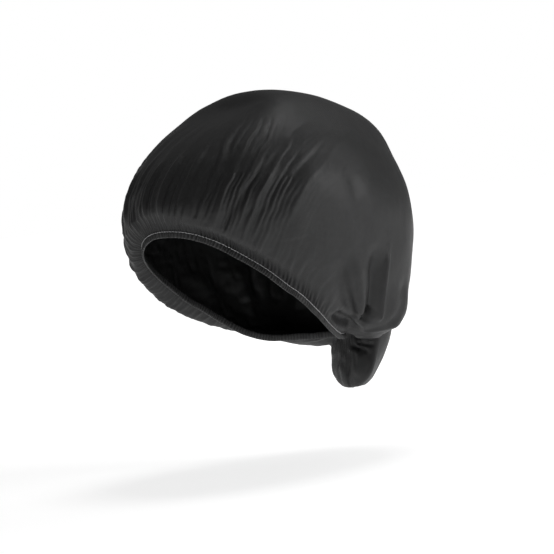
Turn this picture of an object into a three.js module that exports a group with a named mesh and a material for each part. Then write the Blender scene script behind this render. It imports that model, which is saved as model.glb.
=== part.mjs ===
// Disposable hair cover: a wide bouffant cap of thin non-woven cloth with an
// elastic edge, held in the form it takes on a head.
// Millimetres, +Z up, front of the cap towards -Y, wearer's left towards +X.
// The origin is the centre of the head opening, midway between the edge at
// the forehead and the edge at the nape.
//
// Angles run round the head: 0 at the forehead, +90 at the wearer's left ear,
// 180 at the nape, -90 at the right ear.  "Level" runs up the cloth: 0 at the
// elastic edge, 1 to 7 at the rings of the table, 8 at the top of the crown.
import * as THREE from 'three';

// ---- named sizes -----------------------------------------------------------
const WALL = 1.3;             // cloth wall of the crown
const BAND_HEIGHT = 6.5;      // elastic edge casing, top to bottom
const BAND_THICK = 1.8;       // elastic edge casing, inside to outside
const GAP = 0.3;              // clearance between the casing and the crown

// plan of the elastic edge: an oval that narrows to a blunt point at the nape
const EDGE = { halfWidth: 73, halfLength: 94, centreY: -11, squareness: 2.2,
               napeReach: 22, napePower: 12 };

// the cloth is bunched together at the nape
const BUNCH = { share: 0.62, spread: 34, fadeLevel: 1.6 };

// pouch of spare cloth that hangs behind the neck, below the bunched nape
const POUCH_FOOT = { halfWidth: 51, front: 25, back: 45, centreY: 133 };
const POUCH_NECK = { halfWidth: 35.5, front: 13.5, back: 42.5, centreY: 129.5 };
const POUCH = { bottomZ: -110, lean: -12, startLevel: 0.3, fadeFrom: 0.95,
                fadeTo: 1.5, topFrom: -42, topTo: -12 };

const START_RISE = 14;        // how steeply the cloth leaves the casing
const START_REACH = 25;       // first ring's distance for the whole of that rise
const CROWN_COLUMNS = 72;
const BAND_STEPS = 96;

// ---- tables ----------------------------------------------------------------
// height of the elastic edge's lower side round the head
const EDGE_HEIGHTS = [
  // angle, left z, right z
  [0, 58.5, 58.5], [15, 58.5, 53], [30, 54.5, 44], [45, 45.5, 33],
  [60, 31.5, 20], [75, 15, 4], [90, -6, -15], [105, -28, -33],
  [120, -46, -48], [135, -55, -56], [150, -58, -58], [165, -59, -59],
  [180, -59, -59],
];

// rings of the crown; dip is how much lower the right side hangs
const RINGS = [
  // frontY, frontZ, sideX, sideY, leftZ, rightZ, backY, backZ, dip
  [-109.5, 77, 91.5, -13.5, 15.5, -12.5, 129, -72.5, 1.0],
  [-112, 84, 104, -4.5, 31.5, 6.5, 149, -71, 0.9],
  [-110, 94, 112.5, 7.5, 52.5, 34.5, 163.5, -58, 0.7],
  [-100.5, 110.5, 117.5, 20, 81, 69.5, 177.5, -19, 0.4],
  [-80.5, 131.5, 113.5, 31.5, 109, 104.5, 190, 37.5, 0.2],
  [-47, 153, 95.5, 40, 144.5, 143, 184.5, 94.5, 0],
  [-4.5, 171.5, 56.5, 44.5, 178, 178.5, 155.5, 148.5, 0],
];
const TOP = { y: 37, z: 188.5 };
const RING_POWER = 1 / 1.06;
const DIP_DEPTH = 11;

// levels where the cloth has a row of points
const LEVELS = [0, 0.07, 0.14, 0.21, 0.28, 0.36, 0.45, 0.55, 0.66, 0.8, 1, 1.25,
                1.5, 1.75, 2, 2.3, 2.6, 3, 3.4, 3.8, 4.3, 4.8, 5.3, 5.8, 6.3,
                6.8, 7.3, 7.7];

// section of the pouch: how far the cloth at a share of its foot is from the
// pouch's middle line, towards the front and towards the back, and its drop
const POUCH_SECTION = [
  // foot share, front share, back share, drop
  [0, 0, 0, 1], [0.2, 0.28, 0.29, 0.975], [0.4, 0.56, 0.44, 0.86],
  [0.6, 0.86, 0.61, 0.62], [0.75, 0.97, 0.80, 0.36], [0.88, 1, 0.96, 0.14],
  [1, 1, 1.02, 0],
];

// main creases of the wearer's left side, each a curve through three points;
// the right side has them mirrored and a little weaker
const CREASES = [
  // start x y z, middle x y z, end x y z, start width, end width, height (minus is a dent)
  // out of the bunched nape, up the side
  [38, 83, -52, 72, 59, -34, 90, 29, -7, 8, 11, -2.4],
  [67, 72, -41, 91, 44, -10, 105, 18, 25, 8, 12, -4.2],
  [75, 72, -34, 93, 58, -10, 109, 40, 31, 8, 11, 3.0],
  [72, 78, -39, 91, 76, -13, 107, 70, 34, 8, 11, -5.5],
  [72, 96, -39, 93, 90, -7, 102, 94, 34, 8, 8, 2.2],
  [68, 106, -44, 78, 112, -27, 84, 119, -2, 8, 9, -1.2],
  // hollow above the casing, next to the knot
  [70, 42, -32, 60, 66, -44, 42, 96, -57, 8, 9, -4.5],
  // long folds of the front half, and the planes behind them
  [58, -92, 65, 67, -88, 101, 72, -53, 137, 8, 9, -2.2],
  [71, -83, 61, 92, -64, 99, 100, 0, 139, 8, 9, -2.8],
  [83, -60, 44, 101, -48, 71, 109, -32, 91, 8, 9, -2.0],
  [103, -25, 45, 112, -22, 81, 109, 13, 125, 14, 14, 2.0],
  [115, 41, 96, 115, 49, 65, 107, 64, 31, 10, 10, -1.5],
];
const MIRRORED = 0.85;        // height of the right side's creases to the left's

// round swells of both sides of the lower back
const SWELLS = [
  // x, y, z, radius, height
  [71, 116, -35, 22, 9], [52, 126, -50, 16, 3.5], [80, 118, -8, 34, 3],
];

// broad soft dents of the crown
const CROWN_FOLDS = [
  // angle, width, level, levels wide, lean (degrees a level), height
  [150, 12, 3.6, 1.4, 3, -2.0], [-128, 12, 3.9, 1.6, -4, -2.0],
  [180, 13, 5.4, 1.3, 0, -2.2],
];

// ---- small helpers ---------------------------------------------------------
const rad = (deg) => deg * Math.PI / 180;
const signedPower = (v, p) => Math.sign(v) * Math.pow(Math.abs(v), p);
const smooth = (a, b, v) => {
  const t = Math.min(1, Math.max(0, (v - a) / (b - a)));
  return t * t * (3 - 2 * t);
};
const spline = (a, b, c, d, f) => 0.5 * (2 * b + (c - a) * f
  + (2 * a - 5 * b + 4 * c - d) * f * f + (3 * b - a - 3 * c + d) * f * f * f);
const splineVec = (a, b, c, d, f) => new THREE.Vector3(
  spline(a.x, b.x, c.x, d.x, f), spline(a.y, b.y, c.y, d.y, f),
  spline(a.z, b.z, c.z, d.z, f));
const wrapDeg = (v) => ((v + 180) % 360 + 360) % 360 - 180;

// monotone read of a table column, first column ascending
function lookUp(table, column, v) {
  const last = table.length - 1;
  if (v >= table[last][0]) return table[last][column];
  let i = 0;
  while (i < last - 1 && v > table[i + 1][0]) i++;
  const slope = (k) => {
    if (k < 0 || k >= last) return null;
    return (table[k + 1][column] - table[k][column]) / (table[k + 1][0] - table[k][0]);
  };
  const tangent = (k) => {
    const a = slope(k - 1), b = slope(k);
    if (a === null) return b;
    if (b === null) return a;
    return a * b <= 0 ? 0 : 2 * a * b / (a + b);
  };
  const h = table[i + 1][0] - table[i][0], t = (v - table[i][0]) / h;
  const p = table[i][column], q = table[i + 1][column];
  const m = tangent(i) * h, n = tangent(i + 1) * h;
  return p * (1 + 2 * t) * (1 - t) * (1 - t) + m * t * (1 - t) * (1 - t)
    + q * t * t * (3 - 2 * t) - n * t * t * (1 - t);
}

// ---- elastic edge ----------------------------------------------------------
const EDGE_LOOP = [
  ...EDGE_HEIGHTS.slice(1).reverse().map((row) => row[2]),
  ...EDGE_HEIGHTS.slice(0, -1).map((row) => row[1]),
];                                  // z from -180 up to +165 degrees

function edgeHeight(angle) {
  const n = EDGE_LOOP.length, t = (angle / rad(360) + 0.5) * n;
  const i = Math.floor(t), f = t - i;
  const at = (k) => EDGE_LOOP[((k % n) + n) % n];
  return spline(at(i - 1), at(i), at(i + 1), at(i + 2), f);
}

function edgePoint(angle) {
  const s = Math.sin(angle), c = Math.cos(angle), p = 2 / EDGE.squareness;
  const nape = c < 0 ? EDGE.napeReach * Math.pow(-c, EDGE.napePower) : 0;
  return new THREE.Vector3(
    EDGE.halfWidth * signedPower(s, p),
    EDGE.centreY - EDGE.halfLength * signedPower(c, p) + nape,
    edgeHeight(angle));
}

// point on the edge's lower side, with the directions out of and up the casing
function edgeFrame(angle) {
  const e = 1e-3;
  const point = edgePoint(angle);
  const along = edgePoint(angle + e).sub(edgePoint(angle - e)).normalize();
  const out = new THREE.Vector3().crossVectors(along, new THREE.Vector3(0, 0, 1)).normalize();
  const radial = new THREE.Vector3(point.x, point.y - EDGE.centreY, 0);
  if (out.dot(radial) < 0) out.negate();
  const up = new THREE.Vector3().crossVectors(out, along).normalize();
  if (up.z < 0) up.negate();
  return { point, out, up };
}

// ---- crown -----------------------------------------------------------------
function ringPoint(row, angle) {
  const [frontY, frontZ, sideX, sideY, leftZ, rightZ, backY, backZ, dip] = row;
  const s = Math.sin(angle), c = Math.cos(angle);
  const sideZ = s > 0 ? leftZ : rightZ;
  const lower = angle < 0
    ? dip * DIP_DEPTH * Math.sin(Math.min(Math.PI, -angle * 1.5)) : 0;
  return new THREE.Vector3(
    sideX * signedPower(s, RING_POWER),
    sideY + (frontY - backY) / 2 * c + ((frontY + backY) / 2 - sideY) * c * c,
    sideZ + (frontZ - backZ) / 2 * c + ((frontZ + backZ) / 2 - sideZ) * c * c - lower);
}

// where the cloth of a column lies round the head at a level
function clothAngle(column, level) {
  const away = Math.PI - Math.abs(column);
  const share = BUNCH.share * (1 - smooth(0, BUNCH.fadeLevel, level));
  const pull = share * Math.exp(-Math.pow(away / rad(BUNCH.spread), 2));
  return (column < 0 ? -1 : 1) * (Math.PI - away * (1 - pull));
}

// hangs the cloth behind the nape down into the pouch
function hangPouch(p, level) {
  const dy = p.y - POUCH_FOOT.centreY;
  const ex = p.x / POUCH_FOOT.halfWidth;
  const ey = dy / (dy < 0 ? POUCH_FOOT.front : POUCH_FOOT.back);
  const q = Math.hypot(ex, ey) + 1e-9, cx = ex / q, cy = ey / q;
  const share = Math.min(q, 1), toBack = smooth(-0.6, 0.6, cy);
  const reach = lookUp(POUCH_SECTION, 1, share) * (1 - toBack)
    + lookUp(POUCH_SECTION, 2, share) * toBack + Math.max(q - 1, 0);
  const drop = lookUp(POUCH_SECTION, 3, share);
  const weight = (1 - smooth(POUCH.fadeFrom, POUCH.fadeTo, q))
    * (1 - smooth(POUCH.topFrom, POUCH.topTo, p.z)) * smooth(0, POUCH.startLevel, level);
  const target = new THREE.Vector3(
    POUCH_NECK.halfWidth * cx * reach,
    POUCH_NECK.centreY + POUCH.lean * drop
      + (dy < 0 ? POUCH_NECK.front : POUCH_NECK.back) * cy * reach,
    p.z * (1 - drop) + POUCH.bottomZ * drop);
  return p.clone().lerp(target, weight);
}

function smoothCloth(column, level) {
  const angle = clothAngle(column, level);
  const opposite = angle > 0 ? angle - Math.PI : angle + Math.PI;
  const { point, out, up } = edgeFrame(angle);
  const start = point.clone().addScaledVector(up, BAND_HEIGHT + GAP)
    .addScaledVector(out, GAP);
  const first = ringPoint(RINGS[0], angle);
  const rise = START_RISE * Math.min(1, start.distanceTo(first) / START_REACH);
  const before = start.clone().multiplyScalar(1.6).addScaledVector(first, -0.6)
    .addScaledVector(out, 2.4).addScaledVector(up, -rise);
  const stops = [before, start, ...RINGS.map((row) => ringPoint(row, angle)),
                 new THREE.Vector3(0, TOP.y, TOP.z),
                 ringPoint(RINGS[RINGS.length - 1], opposite)];
  const i = Math.min(Math.floor(level), stops.length - 4), f = level - i;
  const p = splineVec(stops[i], stops[i + 1], stops[i + 2], stops[i + 3], f);
  return hangPouch(p, level);
}

// height of one crease at a point: rounded across, fading at its ends
function creaseHeight(p, row) {
  const [a, b, c] = [0, 3, 6].map((k) => new THREE.Vector3(row[k], row[k + 1], row[k + 2]));
  const [startWidth, endWidth, height] = row.slice(9);
  const curve = new THREE.QuadraticBezierCurve3(
    a, b.clone().multiplyScalar(2).addScaledVector(a, -0.5).addScaledVector(c, -0.5), c);
  const stops = curve.getPoints(12);
  let gap = Infinity, along = 0;
  for (let i = 0; i < 12; i++) {
    const line = new THREE.Line3(stops[i], stops[i + 1]);
    const f = line.closestPointToPointParameter(p, true);
    const distance = line.at(f, new THREE.Vector3()).distanceTo(p);
    if (distance < gap) { gap = distance; along = (i + f) / 12; }
  }
  const width = startWidth + (endWidth - startWidth) * along;
  const ends = smooth(0, 0.1, along + 0.04) * (1 - smooth(0.72, 1, along));
  return height * ends * Math.exp(-Math.pow(gap / width, 2));
}

// height of the folds over the smooth cloth
function foldHeight(p, column, level) {
  const mirror = new THREE.Vector3(-p.x, p.y, p.z);
  let h = 0;
  for (const row of CREASES)
    h += creaseHeight(p, row) + MIRRORED * creaseHeight(mirror, row);
  for (const [x, y, z, radius, height] of SWELLS) {
    const gap = Math.hypot(Math.abs(p.x) - x, p.y - y, p.z - z);
    h += height * Math.exp(-Math.pow(gap / radius, 2));
  }
  const deg = column * 180 / Math.PI;
  for (const [at, width, mid, span, lean, height] of CROWN_FOLDS) {
    const off = wrapDeg(deg - at - lean * (level - mid)) / width;
    h += height * Math.exp(-off * off - Math.pow((level - mid) / span, 2));
  }
  return h * smooth(0.04, 0.5, level) * (1 - smooth(6.4, 7.6, level));
}

// ---- solids ----------------------------------------------------------------
function solid(name, points, faces, material) {
  const geometry = new THREE.BufferGeometry();
  geometry.setAttribute('position', new THREE.Float32BufferAttribute(
    points.flatMap((p) => [p.x, p.y, p.z]), 3));
  geometry.setIndex(faces.flat());
  geometry.computeVertexNormals();
  const mesh = new THREE.Mesh(geometry, material);
  mesh.name = name;
  return mesh;
}

// outward normal of the cloth at a grid point, from its neighbours
function gridNormal(rows, top, r, c) {
  const n = rows[r].length;
  const left = rows[r][(c + n - 1) % n], right = rows[r][(c + 1) % n];
  const below = r > 0 ? rows[r - 1][c] : rows[r][c];
  const above = r < rows.length - 1 ? rows[r + 1][c] : top;
  return new THREE.Vector3().crossVectors(
    right.clone().sub(left), above.clone().sub(below)).normalize();
}

function makeCrown(material) {
  const columns = [...Array(CROWN_COLUMNS).keys()]
    .map((k) => rad(-180) + rad(360) * (k + 0.5) / CROWN_COLUMNS);
  const base = LEVELS.map((level) => columns.map((u) => smoothCloth(u, level)));
  const peak = new THREE.Vector3(0, TOP.y, TOP.z);
  const outer = base.map((row, r) => row.map((p, c) => p.clone().addScaledVector(
    gridNormal(base, peak, r, c), foldHeight(p, columns[c], LEVELS[r]))));
  const inner = outer.map((row, r) => row.map((p, c) => p.clone().addScaledVector(
    gridNormal(outer, peak, r, c), -WALL)));
  const points = [...outer.flat(), ...inner.flat(), peak,
                  peak.clone().add(new THREE.Vector3(0, 0, -WALL))];
  const n = CROWN_COLUMNS, half = LEVELS.length * n;
  const outTop = 2 * half, inTop = outTop + 1, last = (LEVELS.length - 1) * n;
  const faces = [];
  for (let c = 0; c < n; c++) {
    const d = (c + 1) % n;
    for (let r = 0; r < LEVELS.length - 1; r++) {
      const a = r * n + c, b = r * n + d, e = a + n, f = b + n;
      faces.push([a, b, f], [a, f, e]);
      faces.push([half + a, half + f, half + b], [half + a, half + e, half + f]);
    }
    faces.push([last + c, last + d, outTop], [half + last + c, inTop, half + last + d]);
    faces.push([c, half + d, d], [c, half + c, half + d]);
  }
  return solid('crown', points, faces, material);
}

function makeEdgeBand(material) {
  const t = BAND_THICK / 2, h = BAND_HEIGHT, b = 0.5;
  const section = [
    // out, up: a flat casing with soft corners
    [-t + b, 0], [t - b, 0], [t, b], [t, h - b], [t - b, h], [-t + b, h],
    [-t, h - b], [-t, b],
  ];
  const points = [], faces = [], m = section.length;
  for (let k = 0; k < BAND_STEPS; k++) {
    const { point, out, up } = edgeFrame(rad(-180) + rad(360) * (k + 0.5) / BAND_STEPS);
    for (const [o, u] of section)
      points.push(point.clone().addScaledVector(out, o).addScaledVector(up, u));
    const next = (k + 1) % BAND_STEPS;
    for (let j = 0; j < m; j++) {
      const i = (j + 1) % m;
      const p = k * m + j, q = k * m + i, r = next * m + i, s = next * m + j;
      faces.push([p, s, r], [p, r, q]);
    }
  }
  return solid('edge_band', points, faces, material);
}

const cloth = new THREE.MeshStandardMaterial({ color: 0x2b2c2e, roughness: 0.8, metalness: 0 });
const casing = new THREE.MeshStandardMaterial({ color: 0x232425, roughness: 0.85, metalness: 0 });

const cap = new THREE.Group();
cap.add(makeCrown(cloth), makeEdgeBand(casing));
export default cap;
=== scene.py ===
# Look of the disposable hair cover: gathered non-woven cloth, elastic edge
# casing and its seam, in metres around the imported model.
import math

import bpy
import numpy as np
from mathutils import Matrix, Vector


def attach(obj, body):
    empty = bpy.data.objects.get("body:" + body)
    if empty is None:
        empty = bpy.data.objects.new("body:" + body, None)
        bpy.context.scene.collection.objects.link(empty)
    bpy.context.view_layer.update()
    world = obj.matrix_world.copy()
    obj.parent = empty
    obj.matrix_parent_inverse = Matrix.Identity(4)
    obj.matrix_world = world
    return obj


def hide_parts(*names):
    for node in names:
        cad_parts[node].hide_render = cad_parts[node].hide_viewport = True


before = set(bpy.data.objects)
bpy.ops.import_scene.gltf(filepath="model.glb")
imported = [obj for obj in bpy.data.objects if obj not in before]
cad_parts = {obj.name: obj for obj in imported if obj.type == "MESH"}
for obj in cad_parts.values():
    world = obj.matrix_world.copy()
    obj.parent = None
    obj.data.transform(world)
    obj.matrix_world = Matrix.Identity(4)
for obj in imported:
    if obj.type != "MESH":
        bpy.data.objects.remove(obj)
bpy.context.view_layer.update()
MM = 0.001

# ---------------------------------------------------------------- camera
# Azimuth 50 degrees round from the front, 2.5 degrees up, the cap leaning
# 6 degrees back in the picture.
AZIMUTH, ELEVATION, ROLL = math.radians(50.0), math.radians(2.5), math.radians(6.0)
DISTANCE, MM_PER_PIXEL, PICTURE = 2400.0, 0.955, 554
TARGET_RIGHT, TARGET_UP = 26.6, 9.0
view_back = np.array([math.sin(AZIMUTH) * math.cos(ELEVATION),
                      -math.cos(AZIMUTH) * math.cos(ELEVATION), math.sin(ELEVATION)])
view_right = np.array([math.cos(AZIMUTH), math.sin(AZIMUTH), 0.0])
view_up = np.cross(view_back, view_right)
target = view_right * TARGET_RIGHT + view_up * TARGET_UP
cam_x = view_right * math.cos(ROLL) - view_up * math.sin(ROLL)
cam_y = view_right * math.sin(ROLL) + view_up * math.cos(ROLL)
camera_data = bpy.data.cameras.new("camera")
camera_data.sensor_width = 36.0
camera_data.lens = 36.0 * (DISTANCE / MM_PER_PIXEL) / PICTURE
camera_data.clip_end = 50.0
camera = bpy.data.objects.new("camera", camera_data)
bpy.context.scene.collection.objects.link(camera)
spot = (target + view_back * DISTANCE) * MM
camera.matrix_world = Matrix((
    (cam_x[0], cam_y[0], view_back[0], spot[0]),
    (cam_x[1], cam_y[1], view_back[1], spot[1]),
    (cam_x[2], cam_y[2], view_back[2], spot[2]),
    (0, 0, 0, 1)))
bpy.context.scene.camera = camera
bpy.context.scene.view_settings.view_transform = "Standard"

# ---------------------------------------------------------------- sizes, in mm
BAND_HEIGHT, BAND_THICK, GAP = 6.5, 1.8, 0.3
EDGE = dict(half_width=73.0, half_length=94.0, centre_y=-11.0, squareness=2.2,
            nape_reach=22.0, nape_power=12)
BUNCH = dict(share=0.62, spread=34.0, fade=1.6)
FOOT = dict(half_width=51.0, front=25.0, back=45.0, centre_y=133.0)
NECK = dict(half_width=35.5, front=13.5, back=42.5, centre_y=129.5)
POUCH = dict(bottom=-110.0, lean=-12.0, start=0.3, fade_from=0.95, fade_to=1.5,
             top_from=-42.0, top_to=-12.0)
START_RISE, START_REACH = 14.0, 25.0

EDGE_HEIGHTS = [  # angle, left z, right z
    (0, 58.5, 58.5), (15, 58.5, 53), (30, 54.5, 44), (45, 45.5, 33),
    (60, 31.5, 20), (75, 15, 4), (90, -6, -15), (105, -28, -33),
    (120, -46, -48), (135, -55, -56), (150, -58, -58), (165, -59, -59),
    (180, -59, -59)]
RINGS = np.array([  # front y, front z, side x, side y, left z, right z, back y, back z, dip
    (-109.5, 77, 91.5, -13.5, 15.5, -12.5, 129, -72.5, 1.0),
    (-112, 84, 104, -4.5, 31.5, 6.5, 149, -71, 0.9),
    (-110, 94, 112.5, 7.5, 52.5, 34.5, 163.5, -58, 0.7),
    (-100.5, 110.5, 117.5, 20, 81, 69.5, 177.5, -19, 0.4),
    (-80.5, 131.5, 113.5, 31.5, 109, 104.5, 190, 37.5, 0.2),
    (-47, 153, 95.5, 40, 144.5, 143, 184.5, 94.5, 0),
    (-4.5, 171.5, 56.5, 44.5, 178, 178.5, 155.5, 148.5, 0)], float)
TOP = np.array([0.0, 37.0, 188.5])
RING_POWER, DIP_DEPTH = 1 / 1.06, 11.0
POUCH_SECTION = np.array([  # foot share, front share, back share, drop
    (0, 0, 0, 1), (0.2, 0.28, 0.29, 0.975), (0.4, 0.56, 0.44, 0.86),
    (0.6, 0.86, 0.61, 0.62), (0.75, 0.97, 0.80, 0.36), (0.88, 1, 0.96, 0.14),
    (1, 1, 1.02, 0)])

# creases of the wearer's left side, each a curve through three points, in mm;
# the right side has them mirrored and a little weaker
CREASES = [  # start x y z, middle x y z, end x y z, start width, end width, height
    # out of the bunched nape, up the side
    (38, 83, -52, 72, 59, -34, 90, 29, -7, 4, 10, -3.0),
    (67, 72, -41, 91, 44, -10, 105, 18, 25, 5, 12, -5.0),
    (71, 73, -38, 91, 50, -11, 105, 30, 19, 2, 3.6, 2.0),
    (75, 72, -34, 93, 58, -10, 109, 40, 31, 4, 11, 3.6),
    (72, 75, -37, 84, 75, -24, 104, 60, 16, 2, 3.4, 1.6),
    (72, 78, -39, 91, 76, -13, 107, 70, 34, 4.5, 10, -7.5),
    (72, 93, -39, 93, 88, -7, 102, 92, 34, 2.2, 3.6, 3.6),
    (68, 106, -44, 78, 112, -27, 84, 119, -2, 4, 8, -2.0),
    (54, 89, -52, 64, 104, -48, 68, 122, -41, 2.6, 6, 2.2),
    # round the knot
    (71, 75, -39, 61, 84, -48, 12, 116, -61, 1.7, 1.7, 1.4),
    (67, 80, -43, 74, 80, -37, 82, 80, -27, 4.2, 4.2, -7.0),
    (70, 42, -32, 60, 66, -44, 42, 96, -57, 6, 7, -8.0),
    # over the pouch
    (8, 115, -62, 46, 102, -58, 35, 134, -60, 1.8, 3.4, 1.6),
    (13, 116, -65, 23, 119, -65, 32, 123, -66, 1.3, 1.8, 1.5),
    (15, 116, -67, 24, 119, -68, 33, 123, -69, 1.2, 1.8, -1.5),
    (14, 116, -68, 21, 117, -70, 28, 120, -72, 1.2, 1.7, 1.4),
    (8, 114, -70, 18, 116, -72, 27, 119, -74, 1.3, 1.9, -1.8),
    (4, 113, -73, 12, 114, -73, 20, 116, -75, 1.2, 1.6, 1.2),
    # long folds of the front half, and the planes behind them
    (58, -92, 65, 67, -88, 101, 72, -53, 137, 4, 5, -1.8),
    (54, -99, 74, 61, -88, 108, 63, -35, 153, 3.6, 4.6, -1.3),
    (71, -83, 61, 92, -64, 99, 100, 0, 139, 4.5, 6, -2.4),
    (75, -75, 55, 99, -56, 88, 106, 4, 130, 3.2, 4, -1.1),
    (78, -69, 51, 104, -45, 90, 108, 12, 127, 4.5, 6, -1.9),
    (83, -60, 44, 101, -48, 71, 109, -32, 91, 4, 5, -1.4),
    (86, -44, 33, 102, -36, 54, 110, -25, 73, 5, 6, -1.0),
    (103, -25, 45, 112, -22, 81, 109, 13, 125, 14, 14, 2.0),
    (115, 41, 96, 115, 49, 65, 107, 64, 31, 10, 10, -1.5)]
# round swells of both sides of the lower back
SWELLS = [  # x, y, z, radius, height
    (71, 116, -35, 22, 9), (52, 126, -50, 16, 3.5), (80, 118, -8, 34, 3)]
# seam and soft upright folds of the pouch
POUCH_CREASES = [
    (-1, 113, -75, -9, 112, -84, -15, 112, -97, 0.9, 0.9, -0.8),
    (18, 115, -76, 17, 113, -89, 13, 112, -101, 4.0, 4, 1.8),
    (5, 113, -75, 4, 111, -89, 1, 111, -101, 3.0, 3, -1.6),
    (27, 118, -76, 28, 117, -88, 23, 115, -99, 3.0, 3, -1.2)]
# broad planes of the crown
CROWN_FOLDS = [  # angle, width, level, levels wide, lean (degrees a level), height
    (150, 12, 3.6, 1.4, 3, -2.0), (-128, 12, 3.9, 1.6, -4, -2.0),
    (180, 13, 5.4, 1.3, 0, -2.2)]


# ---------------------------------------------------------------- helpers
def smooth(a, b, v):
    t = np.clip((v - a) / (b - a), 0, 1)
    return t * t * (3 - 2 * t)


def power(v, p):
    return np.sign(v) * np.abs(v) ** p


def spline(a, b, c, d, f):
    return 0.5 * (2 * b + (c - a) * f + (2 * a - 5 * b + 4 * c - d) * f * f
                  + (3 * b - a - 3 * c + d) * f * f * f)


def wrap(deg):
    return (deg + 180) % 360 - 180


def look_up(table, column, v):
    x, y = table[:, 0], table[:, column]
    s = np.diff(y) / np.diff(x)
    m = np.zeros(len(x))
    m[0], m[-1] = s[0], s[-1]
    both = s[:-1] * s[1:]
    m[1:-1] = np.where(both > 0, 2 * both / np.where(both > 0, s[:-1] + s[1:], 1), 0)
    i = np.clip(np.searchsorted(x, v, side="left") - 1, 0, len(x) - 2)
    h = x[i + 1] - x[i]
    t = np.clip((v - x[i]) / h, 0, 1)
    return (y[i] * (1 + 2 * t) * (1 - t) ** 2 + m[i] * h * t * (1 - t) ** 2
            + y[i + 1] * t * t * (3 - 2 * t) - m[i + 1] * h * t * t * (1 - t))


class Noise:
    """Smooth repeatable noise from -1 to 1."""

    def __init__(self, seed):
        self.table = np.random.default_rng(seed).random(4096) * 2 - 1

    def _at(self, i, j, k):
        return self.table[(i * 73 + j * 1913 + k * 2731 + (i * j) % 61 * 7 + (j * k) % 53 * 11) % 4096]

    def __call__(self, x, y, z):
        i, j, k = np.floor(x).astype(int), np.floor(y).astype(int), np.floor(z).astype(int)
        f, g, h = x - i, y - j, z - k
        f, g, h = [t * t * t * (t * (6 * t - 15) + 10) for t in (f, g, h)]
        out = 0
        for a in (0, 1):
            for b in (0, 1):
                for c in (0, 1):
                    out = out + (self._at(i + a, j + b, k + c) * (f if a else 1 - f)
                                 * (g if b else 1 - g) * (h if c else 1 - h))
        return out


# ---------------------------------------------------------------- elastic edge
_loop = np.array([r[2] for r in EDGE_HEIGHTS[:0:-1]] + [r[1] for r in EDGE_HEIGHTS[:-1]], float)


def edge_height(angle):
    n = len(_loop)
    t = (angle / (2 * np.pi) + 0.5) * n
    i = np.floor(t).astype(int)
    f = t - i
    return spline(_loop[(i - 1) % n], _loop[i % n], _loop[(i + 1) % n], _loop[(i + 2) % n], f)


def edge_point(angle):
    s, c = np.sin(angle), np.cos(angle)
    p = 2 / EDGE["squareness"]
    nape = EDGE["nape_reach"] * np.maximum(-c, 0) ** EDGE["nape_power"]
    return np.stack([EDGE["half_width"] * power(s, p),
                     EDGE["centre_y"] - EDGE["half_length"] * power(c, p) + nape,
                     edge_height(angle)], -1)


def unit(v):
    return v / np.maximum(np.linalg.norm(v, axis=-1, keepdims=True), 1e-12)


def edge_frame(angle):
    e = 1e-3
    point = edge_point(angle)
    along = unit(edge_point(angle + e) - edge_point(angle - e))
    out = unit(np.cross(along, np.array([0, 0, 1.0])))
    radial = point - np.array([0, EDGE["centre_y"], 0])
    radial[..., 2] = 0
    out = out * np.sign((out * radial).sum(-1, keepdims=True))
    up = unit(np.cross(out, along))
    up = up * np.sign(up[..., 2:3])
    return point, along, out, up


# ---------------------------------------------------------------- smooth cloth
def ring_point(row, angle):
    fy, fz, sx, sy, left, right, by, bz, dip = RINGS[row]
    s, c = np.sin(angle), np.cos(angle)
    sz = np.where(s > 0, left, right)
    lower = np.where(angle < 0, dip * DIP_DEPTH * np.sin(np.minimum(np.pi, -angle * 1.5)), 0)
    return np.stack([sx * power(s, RING_POWER),
                     sy + (fy - by) / 2 * c + ((fy + by) / 2 - sy) * c * c,
                     sz + (fz - bz) / 2 * c + ((fz + bz) / 2 - sz) * c * c - lower], -1)


def cloth_angle(column, level):
    away = np.pi - np.abs(column)
    share = BUNCH["share"] * (1 - smooth(0, BUNCH["fade"], level))
    pull = share * np.exp(-(away / math.radians(BUNCH["spread"])) ** 2)
    return np.where(column < 0, -1.0, 1.0) * (np.pi - away * (1 - pull))


def hang_pouch(p, level):
    x, y, z = p[..., 0], p[..., 1], p[..., 2]
    dy = y - FOOT["centre_y"]
    ex, ey = x / FOOT["half_width"], dy / np.where(dy < 0, FOOT["front"], FOOT["back"])
    q = np.hypot(ex, ey) + 1e-9
    cx, cy = ex / q, ey / q
    share, to_back = np.minimum(q, 1), smooth(-0.6, 0.6, cy)
    reach = (look_up(POUCH_SECTION, 1, share) * (1 - to_back)
             + look_up(POUCH_SECTION, 2, share) * to_back + np.maximum(q - 1, 0))
    drop = look_up(POUCH_SECTION, 3, share)
    weight = ((1 - smooth(POUCH["fade_from"], POUCH["fade_to"], q))
              * (1 - smooth(POUCH["top_from"], POUCH["top_to"], z))
              * smooth(0, POUCH["start"], level))
    goal = np.stack([NECK["half_width"] * cx * reach,
                     NECK["centre_y"] + POUCH["lean"] * drop
                     + np.where(dy < 0, NECK["front"], NECK["back"]) * cy * reach,
                     z * (1 - drop) + POUCH["bottom"] * drop], -1)
    return p + (goal - p) * weight[..., None]


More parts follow.
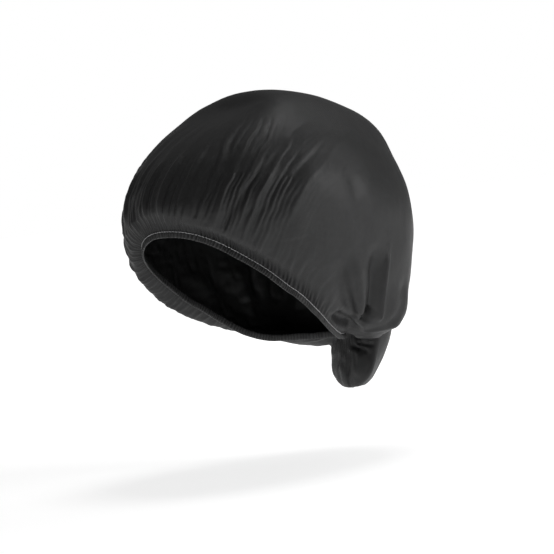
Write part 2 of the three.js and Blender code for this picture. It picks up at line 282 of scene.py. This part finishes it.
def smooth_cloth(column, level):
    angle = cloth_angle(column, level)
    opposite = np.where(angle > 0, angle - np.pi, angle + np.pi)
    point, _, out, up = edge_frame(angle)
    start = point + up * (BAND_HEIGHT + GAP) + out * GAP
    first = ring_point(0, angle)
    rise = START_RISE * np.minimum(1, np.linalg.norm(start - first, axis=-1) / START_REACH)
    before = start * 1.6 - first * 0.6 + out * 2.4 - up * rise[..., None]
    stops = ([before, start] + [ring_point(k, angle) for k in range(len(RINGS))]
             + [np.broadcast_to(TOP, start.shape), ring_point(len(RINGS) - 1, opposite)])
    stops = np.stack(stops)
    i = np.clip(np.floor(level).astype(int), 0, len(stops) - 4)
    f = (level - i)[..., None]
    pick = lambda k: np.take_along_axis(stops, (i + k)[None, ..., None], 0)[0]
    return hang_pouch(spline(pick(0), pick(1), pick(2), pick(3), f), level)


def cloth_normal(column, level):
    e, d = 2e-3, 4e-3
    lo, hi = np.maximum(level - d, 0.0), np.minimum(level + d, 7.995)
    a = smooth_cloth(column + e, level) - smooth_cloth(column - e, level)
    b = smooth_cloth(column, hi) - smooth_cloth(column, lo)
    return unit(np.cross(a, b))


# ---------------------------------------------------------------- folds
PLEATS = 192                     # fine pleats round the elastic


def pleat_table(n, seed, spread):
    r = np.random.default_rng(seed)
    w = 1 + spread * (r.random(n) * 2 - 1)
    edges = np.concatenate([[0], np.cumsum(w)]) / w.sum()
    return edges, 0.55 + 0.9 * r.random(n)


_fine_edges, _ = pleat_table(PLEATS, 7, 0.55)


def pleat_phase(x):
    """x runs once round from 0 to 1; the answer counts pleats."""
    return np.interp(x % 1.0, _fine_edges, np.arange(PLEATS + 1))


def pleat_size(phase, group, seed):
    n = PLEATS // group
    size = 0.45 + 1.1 * np.random.default_rng(seed).random(n)
    at = phase / group
    i = np.floor(at).astype(int)
    f = at - i
    f = f * f * (3 - 2 * f)
    return size[i % n] * (1 - f) + size[(i + 1) % n] * f


def fold_wave(phase, group, sharp):
    """Rounded crests with tighter valleys, one for each group of pleats."""
    c = 0.5 + 0.5 * np.cos(2 * np.pi * phase / group)
    return 2 * (1 - (1 - c) ** sharp) - 1 if sharp > 1 else 2 * c - 1


_bump_a, _bump_b, _bump_c = Noise(3), Noise(11), Noise(23)


def crease_height(p, table, mirror=1.0):
    """Rounded ridges and dents along the curves of a table."""
    h = np.zeros(len(p))
    q = p * np.array([mirror, 1, 1])
    for row in table:
        a, b, c = (np.array(row[k:k + 3], float) for k in (0, 3, 6))
        w0, w1, height = row[9:]
        t = np.linspace(0, 1, 13)[:, None]
        # the curve passes through its middle point half way along
        k = 2 * b - (a + c) / 2
        curve = a * (1 - t) ** 2 + 2 * k * t * (1 - t) + c * t * t
        reach = 3 * max(w0, w1)
        lo, hi = curve.min(0) - reach, curve.max(0) + reach
        near = np.nonzero(((q > lo) & (q < hi)).all(1))[0]
        if not len(near):
            continue
        r = q[near]
        best = np.full(len(near), 1e9)
        along = np.zeros(len(near))
        for i in range(12):
            d = curve[i + 1] - curve[i]
            f = np.clip(((r - curve[i]) @ d) / (d @ d), 0, 1)
            gap = np.linalg.norm(r - curve[i] - f[:, None] * d, axis=1)
            better = gap < best
            best = np.where(better, gap, best)
            along = np.where(better, (i + f) / 12, along)
        width = w0 + (w1 - w0) * along
        ends = smooth(0, 0.1, along + 0.04) * (1 - smooth(0.72, 1, along))
        h[near] += height * ends * np.exp(-(best / width) ** 2)
    return h


def start_column(deg, level):
    """Column at the elastic of the pleat that passes here: pleats lean back as they rise."""
    start = np.linspace(-180, 180, 1441)
    size = np.abs(start)
    lean = 9.0 * smooth(26, 52, size) * (1 - smooth(72, 170, size)) * np.sign(start)
    return np.interp(deg, start + lean * max(level - 3.0, 0) * (1 - 0.25 * smooth(5, 7, level)), start)


def leaning_folds(p, fade_in):
    """Folds of the two sides, upright over the forehead and leaning back behind it."""
    r = p * np.stack([np.where(p[:, 0] < 0, -1.0, 1.0), np.ones(len(p)), np.ones(len(p))], 1)
    x, y = r @ cam_x, r @ cam_y
    slope = 0.03 + 0.40 * smooth(-95, -48, x) + 0.22 * smooth(20, 75, x)
    at = x - slope * (y - 60)
    at = at + 3.4 * _bump_a(p[:, 0] / 30 + 5, p[:, 1] / 30, p[:, 2] / 30)
    at = at + 1.3 * _bump_b(p[:, 0] / 11, p[:, 1] / 11 + 7, p[:, 2] / 11)
    edge = 28 + 42 * smooth(50, 120, y)
    env = (1 - smooth(-34, 38, x - edge)) * (1 - smooth(122, 168, y)) * fade_in
    h = np.zeros(len(p))
    for pitch, size, sharp, seed, reach in ((8.8, 0.62, 1.9, 3, 30.0), (4.9, 0.44, 1.6, 8, 18.0),
                                            (17.5, 0.62, 1.3, 5, 50.0)):
        phase = at / pitch + 400
        i = np.floor(phase).astype(int)
        f = phase - i
        blend = f * f * (3 - 2 * f)
        # each fold swells and fades along its own length
        def amount(k):
            k = k + np.where(p[:, 0] < 0, 777, 0)
            return 0.72 + 0.95 * _bump_c(k * 0.731, y / reach + k * 1.37, np.full(len(p), float(seed)))
        a = np.clip(amount(i) * (1 - blend) + amount(i + 1) * blend, 0.08, 1.6)
        h += size * a * fold_wave(phase, 1, sharp)
    return h * env


def fold_height(p, column, level, from_edge, source):
    deg = np.degrees(column)
    bend = np.stack([_bump_c(p[:, 0] / 30, p[:, 1] / 30, p[:, 2] / 30),
                     _bump_c(p[:, 0] / 30 + 9, p[:, 1] / 30, p[:, 2] / 30),
                     _bump_c(p[:, 0] / 30, p[:, 1] / 30 + 9, p[:, 2] / 30)], 1) * 1.4
    h = crease_height(p + bend, CREASES)
    h += 0.85 * crease_height(p + bend * 2 + np.array([0, 3.0, 0]), CREASES, -1.0)
    h += crease_height(p, POUCH_CREASES)
    for x, y, z, radius, height in SWELLS:
        gap = (np.abs(p[:, 0]) - x) ** 2 + (p[:, 1] - y) ** 2 + (p[:, 2] - z) ** 2
        h += height * np.exp(-gap / radius ** 2)
    for at, width, mid, span, lean, height in CROWN_FOLDS:
        off = wrap(deg - at - lean * (level - mid)) / width
        h += height * np.exp(-off * off - ((level - mid) / span) ** 2)
    h *= smooth(0.04, 0.32, level) * (1 - smooth(6.4, 7.6, level))
    # pleats that merge as they leave the elastic
    sway = 1.3 * _bump_b(p[:, 0] / 46, p[:, 1] / 46, p[:, 2] / 46)
    phase = pleat_phase((source + sway * smooth(2, 30, from_edge) + 180) / 360)
    front = smooth(-120, -80, deg) * (1 - smooth(78, 112, deg))
    pouch = smooth(-62, -72, p[:, 2])
    open_cloth = 1 - pouch
    # how alive each patch is, so that folds start and stop
    patch = np.clip(0.80 + 0.9 * _bump_b(p[:, 0] / 24 + 3, p[:, 1] / 24, p[:, 2] / 24), 0.15, 1.5)
    long_reach = 11.0 + 8.0 * (1 - smooth(20, 60, np.abs(deg)))
    calm = 1 - 0.6 * smooth(92, 125, np.abs(deg))
    h += (0.50 * calm * pleat_size(phase, 1, 5) * fold_wave(phase, 1, 1)
          * np.exp(-(from_edge / long_reach) ** 1.8))
    h += (0.42 * pleat_size(phase, 2, 9) * fold_wave(phase, 2, 1.4) * patch
          * smooth(3, 10, from_edge) * np.exp(-(from_edge / 30.0) ** 2) * (0.45 + 0.55 * front))
    upright = 1 - smooth(20, 42, np.abs(deg))
    h += (0.55 * upright * pleat_size(phase, 2, 33) * fold_wave(phase, 2, 1.6) * patch
          * smooth(10, 24, from_edge) * (1 - smooth(3.6, 5.4, level)))
    h += ((0.72 * upright + 0.04) * pleat_size(phase, 3, 13) * fold_wave(phase, 3, 1.5) * patch
          * smooth(12, 30, from_edge) * (1 - smooth(3.8, 6.0, level)) * open_cloth)
    h += ((0.80 * upright + 0.06) * pleat_size(phase, 6, 17) * fold_wave(phase, 6, 1.3) * patch
          * smooth(10, 34, from_edge) * (1 - smooth(4.6, 6.8, level)) * open_cloth)
    h += leaning_folds(p, (1 - upright) * smooth(9, 26, from_edge)) * open_cloth
    # upright folds of the pouch
    around = np.arctan2(p[:, 0], p[:, 1] - 126.0)
    h += smooth(-74, -88, p[:, 2]) * (0.3 * np.cos(around * 7 + 0.8 + 1.2 * _bump_c(p[:, 2] / 22, around, around * 0))
                  + 0.08 * np.cos(around * 17 + 2.0)) * smooth(4, 16, np.hypot(p[:, 0], p[:, 1] - 122))
    # soft crumple, sharper over the right temple
    q = p / 36.0
    h += 0.9 * _bump_a(q[:, 0], q[:, 1], q[:, 2]) * smooth(8, 34, from_edge)
    temple = smooth(6, -22, deg) * (1 - smooth(3.2, 4.6, level))
    q = p / 12.0
    crisp = 1 - 2 * np.abs(_bump_b(q[:, 0], q[:, 1], q[:, 2]))
    h += (0.10 + 0.75 * temple) * crisp * smooth(6, 20, from_edge)
    q = p / 6.5
    h += (0.03 + 0.30 * temple) * _bump_c(q[:, 0], q[:, 1], q[:, 2]) * smooth(4, 16, from_edge)
    return h


# ---------------------------------------------------------------- crown mesh
def crown_grid():
    """Rows of columns; each block halves its columns where the pleats have merged."""
    blocks = [  # columns, levels
        (1440, np.concatenate([[0, 0.03], np.linspace(0.06, 0.62, 20)])),
        (720, np.linspace(0.66, 4.1, 66)),
        (360, np.concatenate([np.linspace(4.16, 7.3, 52), [7.44, 7.58, 7.7]])),
        (90, np.array([7.8, 7.88])),
    ]
    return blocks


def build_crown():
    faces, cols, levs, starts = [], [], [], []
    start, previous = 0, None
    for n, levels in crown_grid():
        for level in levels:
            u = -np.pi + 2 * np.pi * np.arange(n) / n
            cols.append(u)
            levs.append(np.full(n, level))
            starts.append(start_column(np.degrees(u), level))
            if previous is not None:
                before, m = previous
                if m == n:
                    k = np.arange(n)
                    d = (k + 1) % n
                    faces.extend(np.stack([before + k, before + d, start + d, start + k], 1).tolist())
                else:
                    step = m // n
                    for k in range(n):
                        low = [before + (k * step + j) % m for j in range(step + 1)]
                        faces.append(low + [start + (k + 1) % n, start + k])
            previous = (start, n)
            start += n
    before, m = previous
    for k in range(m):
        faces.append([before + k, before + (k + 1) % m, start])
    column, level, source = (np.concatenate(v) for v in (cols, levs, starts))
    base = smooth_cloth(column, level)
    normal = cloth_normal(column, level)
    edge = smooth_cloth(column, np.zeros(len(column)))
    from_edge = np.linalg.norm(base - edge, axis=1)
    # the cloth comes out of the casing, not from its top corner
    angle = cloth_angle(column, level)
    _, _, out, up = edge_frame(angle)
    tuck = 1 - smooth(0, 0.03, level)
    height = fold_height(base, column, level, from_edge, source)
    points = base + normal * height[:, None]
    points += (-1.3 * up - 0.1 * out) * tuck[:, None]
    points = np.concatenate([points, TOP[None] + np.array([[0, 0, height[-90:].mean()]])])
    # flat place of each point on the round cut of cloth, in metres, for the finish
    down = (8.0 - level) / 8.0 * 0.300
    uv = np.stack([down * np.sin(column), -down * np.cos(column)], 1)
    uv = np.concatenate([uv, [[0, 0]]])
    return points, faces, uv


def make_mesh(name, points, faces, uv=None, turn=0.0):
    mesh = bpy.data.meshes.new(name)
    mesh.from_pydata((np.asarray(points) * MM).tolist(), [], faces)
    mesh.update()
    mesh.shade_smooth()
    if uv is not None:
        layer = mesh.uv_layers.new(name="cut")
        index = np.zeros(len(mesh.loops), np.int32)
        mesh.loops.foreach_get("vertex_index", index)
        cut = np.asarray(uv, np.float32)[index]
        if turn:
            # the last faces of a ring run on past its start
            starts = np.zeros(len(mesh.polygons), np.int32)
            mesh.polygons.foreach_get("loop_start", starts)
            most = np.repeat(np.maximum.reduceat(cut[:, 0], starts), np.diff(np.append(starts, len(cut))))
            cut[:, 0] += turn * (most - cut[:, 0] > turn / 2)
        layer.data.foreach_set("uv", cut.ravel())
    obj = bpy.data.objects.new(name, mesh)
    bpy.context.scene.collection.objects.link(obj)
    return obj


# ---------------------------------------------------------------- casing and seam
BAND_STEPS = 1600
RIBS = 224


def band_angles(n):
    """Angles at even steps along the elastic, with the length along it in mm."""
    a = np.linspace(-np.pi, np.pi, 4001)
    d = np.concatenate([[0], np.cumsum(np.linalg.norm(np.diff(edge_point(a), axis=0), axis=1))])
    s = d[-1] * np.arange(n) / n
    return np.interp(s, d, a), s, d[-1]


def rib_wave(s, total):
    edges, size = pleat_table(RIBS, 19, 0.5)
    phase = np.interp(s / total, edges, np.arange(RIBS + 1))
    i = np.floor(phase).astype(int) % RIBS
    f = phase - np.floor(phase)
    blend = f * f * (3 - 2 * f)
    amount = size[i] * (1 - blend) + size[(i + 1) % RIBS] * blend
    return np.cos(2 * np.pi * phase), amount, phase


def build_band():
    angle, s, total = band_angles(BAND_STEPS)
    point, along, out, up = edge_frame(angle)
    wave, amount, phase = rib_wave(s, total)
    wob = Noise(31)
    t, h = BAND_THICK / 2, BAND_HEIGHT
    # section: out, up, how much the ribs move it, how much the seam pinches it
    section = [(-t * 0.8, 0.5, 0.4, 0), (-t * 0.45, 0.05, 0.2, 0), (t * 0.2, -0.08, 0.2, 0),
               (t * 0.75, 0.25, 1.0, 0), (t, 0.9, 1.1, 0), (t * 1.04, 1.8, 1.0, 0),
               (t * 1.05, 2.8, 1.0, 0), (t * 1.04, 3.7, 1.0, 0), (t * 0.98, 4.5, 1.0, 0.1),
               (t * 0.86, 5.1, 0.8, 0.5), (t * 0.72, 5.55, 0.5, 1.0), (t * 0.80, 6.0, 0.8, 0.4),
               (t * 0.5, 6.45, 0.8, 0), (0.0, 6.6, 0.5, 0), (-t * 0.6, 6.3, 0.4, 0),
               (-t, 5.4, 0.5, 0), (-t, 3.4, 0.6, 0), (-t, 1.6, 0.5, 0)]
    rows = []
    for o, u, rib, pinch in section:
        side = 1.0 if o >= 0 else -1.0
        skew = 0.25 * wob(phase * 0.31, np.full_like(phase, u * 0.3), phase * 0)
        w = np.cos(2 * np.pi * (phase + skew * (u / h - 0.5)))
        puff = 0.48 * rib * amount * w * side + 0.16 * side * wob(s / 9, np.full_like(s, u / 5), s * 0 + 4)
        dip = -0.22 * pinch
        tall = 0.22 * wob(s / 14 + 9, s * 0, s * 0) if u > 5.7 else 0.16 * wob(s / 11, s * 0 + 5, s * 0)
        rows.append(point + out * (o + puff + dip)[:, None] + up * (u + tall)[:, None])
    m = len(section)
    points = np.stack(rows, 1).reshape(-1, 3)
    k = np.arange(BAND_STEPS)[:, None]
    j = np.arange(m)[None]
    nk, nj = (k + 1) % BAND_STEPS, (j + 1) % m
    faces = np.stack([k * m + j, k * m + nj, nk * m + nj, nk * m + j], -1).reshape(-1, 4)
    # along the casing by its ribs, so that the finish, with its painted shade between the ribs, can follow them
    uv = np.stack([np.repeat(phase / RIBS * total, m) * MM,
                   np.tile(np.array([r[1] for r in section]), BAND_STEPS) * MM], 1)
    return points, faces.tolist(), uv, total * MM / RIBS


STITCH_PITCH, STITCH_LONG, STITCH_ROUND = 3.1, 2.75, 0.26


def build_stitches():
    _, _, total = band_angles(8)
    count = int(round(total / STITCH_PITCH))
    rng = np.random.default_rng(5)
    sides, rings = 8, 9
    points, faces = [], []
    fine, length, _ = band_angles(6000)
    for k in range(count):
        mid = total * (k + 0.5) / count
        half = STITCH_LONG / 2 * (0.93 + 0.12 * rng.random())
        tilt, lift = rng.normal(0, 0.07), rng.normal(0, 0.05)
        s = (mid + np.linspace(-half, half, rings)) % total
        a = np.interp(s, length, fine)
        point, along, out, up = edge_frame(a)
        f = np.linspace(-1, 1, rings)
        height = 5.62 + lift + tilt * f
        # the thread lies on the casing and dives in at both ends
        stand = BAND_THICK / 2 * 0.72 - 0.02 + 0.30 - 0.42 * np.abs(f) ** 3
        centre = point + up * height[:, None] + out * stand[:, None]
        thick = STITCH_ROUND * (1 - 0.25 * np.abs(f) ** 4)
        base = len(points)
        for r in range(rings):
            for q in range(sides):
                b = 2 * math.pi * q / sides
                points.append(centre[r] + (out[r] * math.cos(b) + up[r] * math.sin(b)) * thick[r])
        for r in range(rings - 1):
            for q in range(sides):
                n = (q + 1) % sides
                faces.append([base + r * sides + q, base + r * sides + n,
                              base + (r + 1) * sides + n, base + (r + 1) * sides + q])
        faces.append([base + q for q in range(sides)][::-1])
        faces.append([base + (rings - 1) * sides + q for q in range(sides)])
    return np.array(points), faces


# ---------------------------------------------------------------- materials
class Nodes:
    def __init__(self, name):
        self.material = bpy.data.materials.new(name)
        self.material.use_nodes = True
        self.tree = self.material.node_tree
        self.shader = self.tree.nodes["Principled BSDF"]

    def add(self, kind, **values):
        node = self.tree.nodes.new(kind)
        for key, value in values.items():
            if hasattr(node, key):
                setattr(node, key, value)
            else:
                node.inputs[key.replace("_", " ")].default_value = value
        return node

    def link(self, a, b):
        self.tree.links.new(a, b)

    def math(self, operation, a, b=None):
        node = self.tree.nodes.new("ShaderNodeMath")
        node.operation = operation
        for socket, value in zip(node.inputs, (a, b)):
            if value is None:
                continue
            if isinstance(value, (int, float)):
                socket.default_value = value
            else:
                self.link(value, socket)
        return node.outputs[0]

    def ramp(self, source, stops):
        node = self.tree.nodes.new("ShaderNodeValToRGB")
        ramp = node.color_ramp
        while len(ramp.elements) < len(stops):
            ramp.elements.new(0.5)
        for element, (at, colour) in zip(ramp.elements, stops):
            element.position = at
            element.color = (*colour, 1)
        self.link(source, node.inputs["Fac"])
        return node.outputs["Color"]


def nonwoven(name, dark, light, rib_pitch=0.0):
    """Black spunbond: pressed dots, matted fibres and cloudy density; painted shade darkens it between ribs and lifts
    it on their crests.
    """
    n = Nodes(name)
    shader = n.shader
    place = n.add("ShaderNodeTexCoord")
    cut = n.add("ShaderNodeUVMap", uv_map="cut")
    cloud = n.add("ShaderNodeTexNoise", Scale=190.0, Detail=6.0, Roughness=0.65)
    n.link(place.outputs["Object"], cloud.inputs["Vector"])
    fibre = n.add("ShaderNodeTexNoise", Scale=850.0, Detail=4.0, Roughness=0.7, Distortion=1.2)
    n.link(place.outputs["Object"], fibre.inputs["Vector"])
    dots = n.add("ShaderNodeTexVoronoi", Scale=620.0, Randomness=0.12)
    n.link(cut.outputs["UV"], dots.inputs["Vector"])
    pressed = n.math("LESS_THAN", dots.outputs["Distance"], 0.30)
    mix = n.math("ADD", n.math("MULTIPLY", cloud.outputs["Fac"], 0.6),
                 n.math("MULTIPLY", fibre.outputs["Fac"], 0.4))
    colour = n.ramp(mix, [(0.36, dark), (0.64, light)])
    # painted shade: the colour darkens in the valleys between the casing's ribs and lightens a little on their
    # crests, standing in for their shading
    if rib_pitch:
        apart = n.add("ShaderNodeSeparateXYZ")
        n.link(cut.outputs["UV"], apart.inputs[0])
        wave = n.math("COSINE", n.math("MULTIPLY", apart.outputs["X"], 2 * math.pi / rib_pitch))
        shade = n.math("ADD", n.math("MULTIPLY", wave, 0.45), 0.75)
        dim = n.add("ShaderNodeVectorMath", operation="SCALE")
        n.link(colour, dim.inputs[0])
        n.link(shade, dim.inputs["Scale"])
        colour = dim.outputs["Vector"]
    n.link(colour, shader.inputs["Base Color"])
    rough = n.math("ADD", n.math("MULTIPLY", fibre.outputs["Fac"], 0.14), 0.46)
    rough = n.math("SUBTRACT", rough, n.math("MULTIPLY", pressed, 0.08))
    n.link(rough, shader.inputs["Roughness"])
    shader.inputs["Specular IOR Level"].default_value = 0.42
    shader.inputs["Sheen Weight"].default_value = 0.0
    shader.inputs["Sheen Roughness"].default_value = 0.45
    shader.inputs["Sheen Tint"].default_value = (0.8, 0.82, 0.86, 1)
    bump = n.add("ShaderNodeBump", Strength=0.6, Distance=0.0005)
    n.link(mix, bump.inputs["Height"])
    press = n.add("ShaderNodeBump", Strength=0.3, Distance=0.0002)
    press.invert = True
    n.link(pressed, press.inputs["Height"])
    n.link(bump.outputs["Normal"], press.inputs["Normal"])
    n.link(press.outputs["Normal"], shader.inputs["Normal"])
    return n.material


def thread(name):
    n = Nodes(name)
    place = n.add("ShaderNodeTexCoord")
    twist = n.add("ShaderNodeTexWave", Scale=900.0, Distortion=1.5, Detail=2.0)
    n.link(place.outputs["Object"], twist.inputs["Vector"])
    colour = n.ramp(twist.outputs["Fac"], [(0.0, (0.40, 0.40, 0.41)), (1.0, (0.66, 0.66, 0.67))])
    n.link(colour, n.shader.inputs["Base Color"])
    n.shader.inputs["Roughness"].default_value = 0.6
    n.shader.inputs["Sheen Weight"].default_value = 0.2
    bump = n.add("ShaderNodeBump", Strength=0.4, Distance=0.0001)
    n.link(twist.outputs["Fac"], bump.inputs["Height"])
    n.link(bump.outputs["Normal"], n.shader.inputs["Normal"])
    return n.material


cloth_look = nonwoven("cloth", (0.007, 0.0071, 0.0073), (0.013, 0.0132, 0.0135))
thread_look = thread("thread")

# ---------------------------------------------------------------- pieces
points, faces, uv = build_crown()
crown = make_mesh("crown_cloth", points, faces, uv)
crown.data.materials.append(cloth_look)
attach(crown, "root")
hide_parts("crown")

points, faces, uv, rib_pitch = build_band()
casing_look = nonwoven("casing", (0.014, 0.0142, 0.0145), (0.026, 0.0263, 0.0268), rib_pitch)
band = make_mesh("edge_casing", points, faces, uv, RIBS * rib_pitch)
band.data.materials.append(casing_look)
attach(band, "root")
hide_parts("edge_band")

points, faces = build_stitches()
stitches = make_mesh("edge_stitches", points, faces)
stitches.data.materials.append(thread_look)
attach(stitches, "root")

# ---------------------------------------------------------------- stage and light
FLOOR_Z = -0.175
floor_mesh = bpy.data.meshes.new("floor")
floor_mesh.from_pydata([(-12, -12, FLOOR_Z), (12, -12, FLOOR_Z), (12, 12, FLOOR_Z), (-12, 12, FLOOR_Z)],
                       [], [(0, 1, 2, 3)])
floor = bpy.data.objects.new("floor", floor_mesh)
bpy.context.scene.collection.objects.link(floor)
paper = bpy.data.materials.new("paper")
paper.use_nodes = True
paper_shader = paper.node_tree.nodes["Principled BSDF"]
paper_shader.inputs["Base Color"].default_value = (0.8, 0.8, 0.8, 1)
paper_shader.inputs["Roughness"].default_value = 1.0
paper_shader.inputs["Specular IOR Level"].default_value = 0.0
paper_shader.inputs["Emission Color"].default_value = (1, 1, 1, 1)
# the paper glows, a painted light, strongest in the wedge of floor that the camera sees; near the cap the glow drops
# to about two thirds, painted shade round the cap, with the cap's real shadow from the lamps falling there too
def paper_node(kind, operation=None, **values):
    node = paper.node_tree.nodes.new(kind)
    if operation:
        node.operation = operation
    for key, value in values.items():
        node.inputs[key.replace("_", " ")].default_value = value
    return node


def paper_link(a, b):
    paper.node_tree.links.new(a, b)


spread = paper_node("ShaderNodeTexCoord")
reach = paper_node("ShaderNodeVectorMath", "LENGTH")
paper_link(spread.outputs["Object"], reach.inputs[0])
# painted shade: the glow is lowest within about 0.35 m of the cap and full from 1.5 m out
glow = paper_node("ShaderNodeMapRange", From_Min=0.35, From_Max=1.5, To_Min=0.66, To_Max=1.0)
glow.interpolation_type = "SMOOTHSTEP"
paper_link(reach.outputs["Value"], glow.inputs["Value"])
from_viewer = paper_node("ShaderNodeVectorMath", "SUBTRACT")
from_viewer.inputs[1].default_value = (spot[0], spot[1], FLOOR_Z)
paper_link(spread.outputs["Object"], from_viewer.inputs[0])
one = paper_node("ShaderNodeVectorMath", "NORMALIZE")
paper_link(from_viewer.outputs["Vector"], one.inputs[0])
ahead = paper_node("ShaderNodeVectorMath", "DOT_PRODUCT")
ahead.inputs[1].default_value = (-math.sin(AZIMUTH), math.cos(AZIMUTH), 0)
paper_link(one.outputs["Vector"], ahead.inputs[0])
# painted light: the glow is full only in the wedge of floor ahead of the camera and dim elsewhere
wedge = paper_node("ShaderNodeMapRange", From_Min=0.93, From_Max=0.986, To_Min=0.24, To_Max=1.0)
wedge.interpolation_type = "SMOOTHSTEP"
paper_link(ahead.outputs["Value"], wedge.inputs["Value"])
both = paper_node("ShaderNodeMath", "MULTIPLY")
paper_link(glow.outputs["Result"], both.inputs[0])
paper_link(wedge.outputs["Result"], both.inputs[1])
paper_link(both.outputs["Value"], paper_shader.inputs["Emission Strength"])
floor.data.materials.append(paper)

# a white wall behind the cap, falling off to a dim room round it
world = bpy.data.worlds.new("studio")
bpy.context.scene.world = world
world.use_nodes = True
room = world.node_tree
place = room.nodes.new("ShaderNodeTexCoord")
facing = room.nodes.new("ShaderNodeVectorMath")
facing.operation = "DOT_PRODUCT"
facing.inputs[1].default_value = tuple(-view_back)
room.links.new(place.outputs["Generated"], facing.inputs[0])
fall = room.nodes.new("ShaderNodeMapRange")
fall.interpolation_type = "SMOOTHSTEP"
for socket, value in (("From Min", 0.95), ("From Max", 0.9875), ("To Min", 0.15), ("To Max", 1.0)):
    fall.inputs[socket].default_value = value
room.links.new(facing.outputs["Value"], fall.inputs["Value"])
room.nodes["Background"].inputs["Color"].default_value = (1, 1, 1, 1)
room.links.new(fall.outputs["Result"], room.nodes["Background"].inputs["Strength"])


def area_light(name, right, up, towards, distance, size, watts):
    """A softbox placed by directions in the picture: right, up, towards the viewer."""
    d = view_right * right + np.array([0, 0, 1.0]) * up + view_back * towards
    d = d / np.linalg.norm(d)
    data = bpy.data.lights.new(name, "AREA")
    data.shape = "RECTANGLE"
    data.size, data.size_y = size
    data.energy = watts
    light = bpy.data.objects.new(name, data)
    middle = np.array([0, 30, 50.0]) * MM
    light.location = middle + d * distance
    light.rotation_euler = Vector(d.tolist()).to_track_quat("Z", "Y").to_euler()
    bpy.context.scene.collection.objects.link(light)
    return light


area_light("key", 0.95, 0.22, 0.28, 2.2, (0.6, 1.0), 19)
area_light("back right", 0.60, 0.75, -0.40, 2.2, (1.0, 1.0), 2.5)
area_light("overhead", 0.2, 1.0, -0.12, 2.4, (0.8, 0.8), 13)
area_light("back left", -1.0, 0.10, -0.50, 2.0, (0.6, 1.2), 2)
area_light("front left", -0.8, -0.20, 0.60, 2.0, (0.6, 1.2), 2.5)
